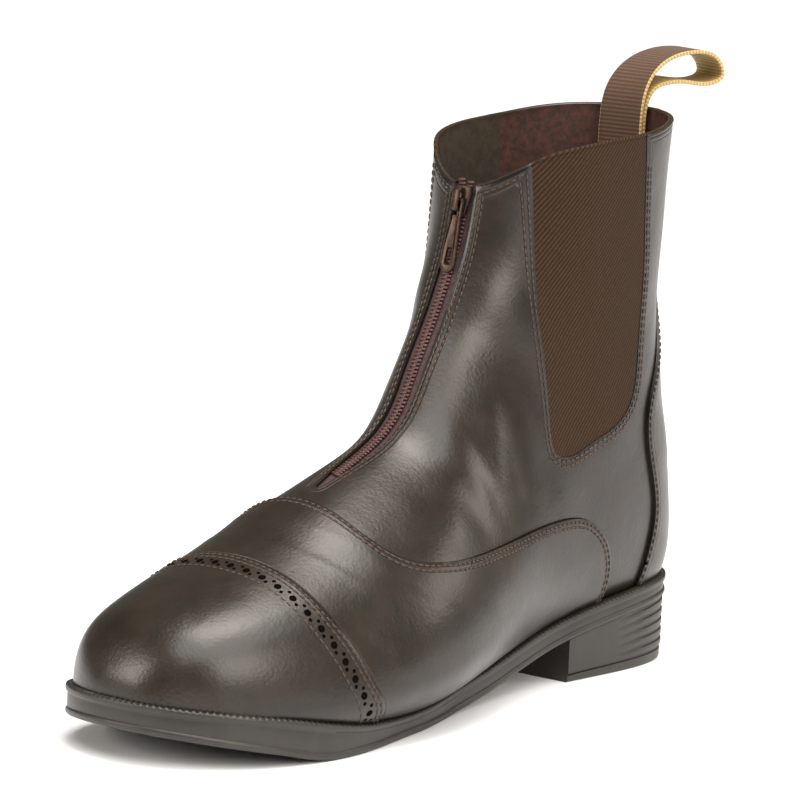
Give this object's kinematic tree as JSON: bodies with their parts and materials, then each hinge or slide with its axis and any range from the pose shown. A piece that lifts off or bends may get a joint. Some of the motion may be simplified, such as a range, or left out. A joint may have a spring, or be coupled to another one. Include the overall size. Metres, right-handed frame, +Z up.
{
  "type": "paddock boot",
  "caption": "Ankle riding boot with a front zip, elastic side gores, toe cap, backstay with spur rest, pull loop and a moulded sole with a low heel.",
  "frame": {"origin": "middle of the flat underside of the heel, on the ground plane", "axes": "+X towards the toe, +Y towards the wearer's left, which is the outer side of this left boot, +Z up"},
  "size_m": [0.3133, 0.1009, 0.2293],
  "materials": {
    "leather": "satin",
    "elastic": "ribbed matt",
    "webbing": "ribbed matt",
    "rubber": "satin",
    "lining": "matt",
    "tape": "matt",
    "metal": "dark bronze plating"
  },
  "bodies": {
    "boot": {"upper": "leather", "toe_cap": "leather", "vamp": "leather", "backstay": "leather", "spur_rest": "leather", "gore_left": "elastic", "gore_right": "elastic", "pull_loop": "webbing", "sole": "rubber", "insole": "lining", "zip_tape": "tape", "zip_coil": "tape", "zip_slider": "metal"},
    "zip_pull": {"zip_pull": "metal"}
  },
  "joints": [
    {"name": "zip_pull_hinge", "type": "hinge", "parent": "boot", "child": "zip_pull", "pos_m": [0.0746, 0, 0.1793], "axis": [0, -1, 0], "range_deg": [0, 165]}
  ]
}
